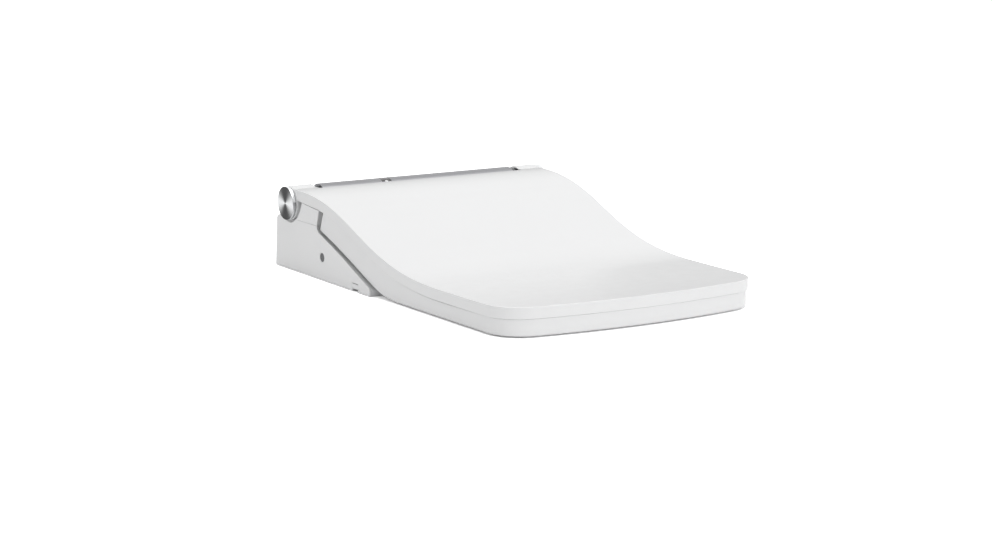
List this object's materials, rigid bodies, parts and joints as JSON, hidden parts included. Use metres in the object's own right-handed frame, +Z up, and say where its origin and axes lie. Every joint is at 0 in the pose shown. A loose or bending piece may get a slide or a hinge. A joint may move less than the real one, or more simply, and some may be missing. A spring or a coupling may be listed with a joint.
{
  "type": "electric bidet seat",
  "caption": "Low electric bidet seat with an S-curved lid and heated seat ring on one round hinge bar, extending wash wand, dryer, deodorizer and mounting plate.",
  "frame": {"origin": "midway between the two fixing bolts, on the plane of the bowl's rim", "axes": "+X to the right of a person facing the seat, +Y to the wall, +Z up"},
  "size_m": [0.382, 0.566, 0.1076],
  "materials": {
    "white_plastic": "gloss white moulded plastic",
    "grey_plastic": "fine matt",
    "dark_plastic": "matt",
    "black_plastic": "matt",
    "natural_plastic": "satin",
    "rubber": "matt",
    "pale_rubber": "matt",
    "rubber_hose": "matt",
    "steel": "plain bright",
    "brushed_steel": "turned face with radial sheen",
    "aluminium": "brushed along its length",
    "brass": "nickel-free cast",
    "dark_lens": "gloss",
    "circuit_board": "solder mask",
    "heater_foil": "foil"
  },
  "bodies": {
    "unit": {"mounting_plate": "grey_plastic", "plate_washers": "black_plastic", "base_tray": "grey_plastic", "base_feet": "rubber", "upper_cover": "white_plastic", "front_panel": "white_plastic", "left_side_panel": "white_plastic", "right_side_panel": "white_plastic", "case_screws": "steel", "hinge_bar": "aluminium", "bar_end_plates": "dark_plastic", "sensor_window": "dark_lens", "sensor_board": "circuit_board", "left_hinge_shaft": "steel", "right_hinge_shaft": "steel", "lid_damper": "dark_plastic", "seat_damper": "dark_plastic", "left_end_cap": "brushed_steel", "right_end_cap": "brushed_steel", "release_spring": "steel", "side_switch": "black_plastic", "nozzle_housing": "grey_plastic", "drive_motor": "steel", "diverter_valve": "grey_plastic", "water_inlet": "brass", "solenoid_valve": "white_plastic", "heater_tank": "natural_plastic", "heater_rod": "steel", "water_pump": "black_plastic", "water_hoses": "rubber_hose", "dryer_housing": "grey_plastic", "dryer_motor": "steel", "dryer_heater": "steel", "odour_fan_housing": "grey_plastic", "odour_motor": "steel", "filter_bay": "grey_plastic", "control_board": "circuit_board", "power_board": "circuit_board", "cord_gland": "rubber"},
    "seat": {"seat_top": "white_plastic", "seat_bottom": "white_plastic", "seat_heater": "heater_foil", "seat_sensor": "black_plastic", "left_seat_arm": "dark_plastic", "right_seat_arm": "dark_plastic", "seat_bumpers": "pale_rubber"},
    "lid": {"lid_top": "white_plastic", "lid_underside": "white_plastic", "lid_bumpers": "pale_rubber"},
    "wand": {"nozzle_wand": "white_plastic", "nozzle_tip": "white_plastic", "nozzle_shield": "white_plastic", "nozzle_rack": "natural_plastic"},
    "pinion": {"drive_pinion": "natural_plastic"},
    "dryer_wheel": {"dryer_fan": "black_plastic"},
    "odour_wheel": {"odour_fan": "black_plastic"},
    "release": {"release_button": "white_plastic", "release_latch": "dark_plastic"},
    "round_button": {"side_button": "rubber"},
    "cartridge": {"filter_cartridge": "white_plastic"}
  },
  "joints": [
    {"name": "seat_hinge", "type": "hinge", "parent": "unit", "child": "seat", "pos_m": [0, 0.021, 0.086], "axis": [-1, 0, 0], "range_deg": [0, 88]},
    {"name": "lid_hinge", "type": "hinge", "parent": "seat", "child": "lid", "pos_m": [0, 0.021, 0.086], "axis": [-1, 0, 0], "range_deg": [0, 90]},
    {"name": "wand_slide", "type": "slide", "parent": "unit", "child": "wand", "axis": [0, -0.9962, -0.0872], "range_m": [0, 0.11]},
    {"name": "pinion_spin", "type": "hinge", "parent": "unit", "child": "pinion", "pos_m": [0.0198, -0.06622, 0.02405], "axis": [0, -0.0872, 0.9962], "range_deg": [0, 722]},
    {"name": "dryer_fan_spin", "type": "hinge", "parent": "unit", "child": "dryer_wheel", "pos_m": [0.072, -0.014, 0.02], "axis": [0, 0, 1], "continuous": true},
    {"name": "odour_fan_spin", "type": "hinge", "parent": "unit", "child": "odour_wheel", "pos_m": [0.146, 0.005, 0.015], "axis": [0, 0, 1], "continuous": true},
    {"name": "release_press", "type": "slide", "parent": "unit", "child": "release", "axis": [1, 0, 0], "range_m": [0, 0.004], "stiffness_N_per_m": 500, "springref_m": -0.002},
    {"name": "side_press", "type": "slide", "parent": "unit", "child": "round_button", "axis": [1, 0, 0], "range_m": [0, 0.0015], "stiffness_N_per_m": 800, "springref_m": -0.001},
    {"name": "cartridge_pull", "type": "slide", "parent": "unit", "child": "cartridge", "axis": [1, 0, 0], "range_m": [0, 0.06]}
  ],
  "couplings": [
    {"joint": "pinion_spin", "follows": "wand_slide", "rad_per_m": 114.29}
  ]
}
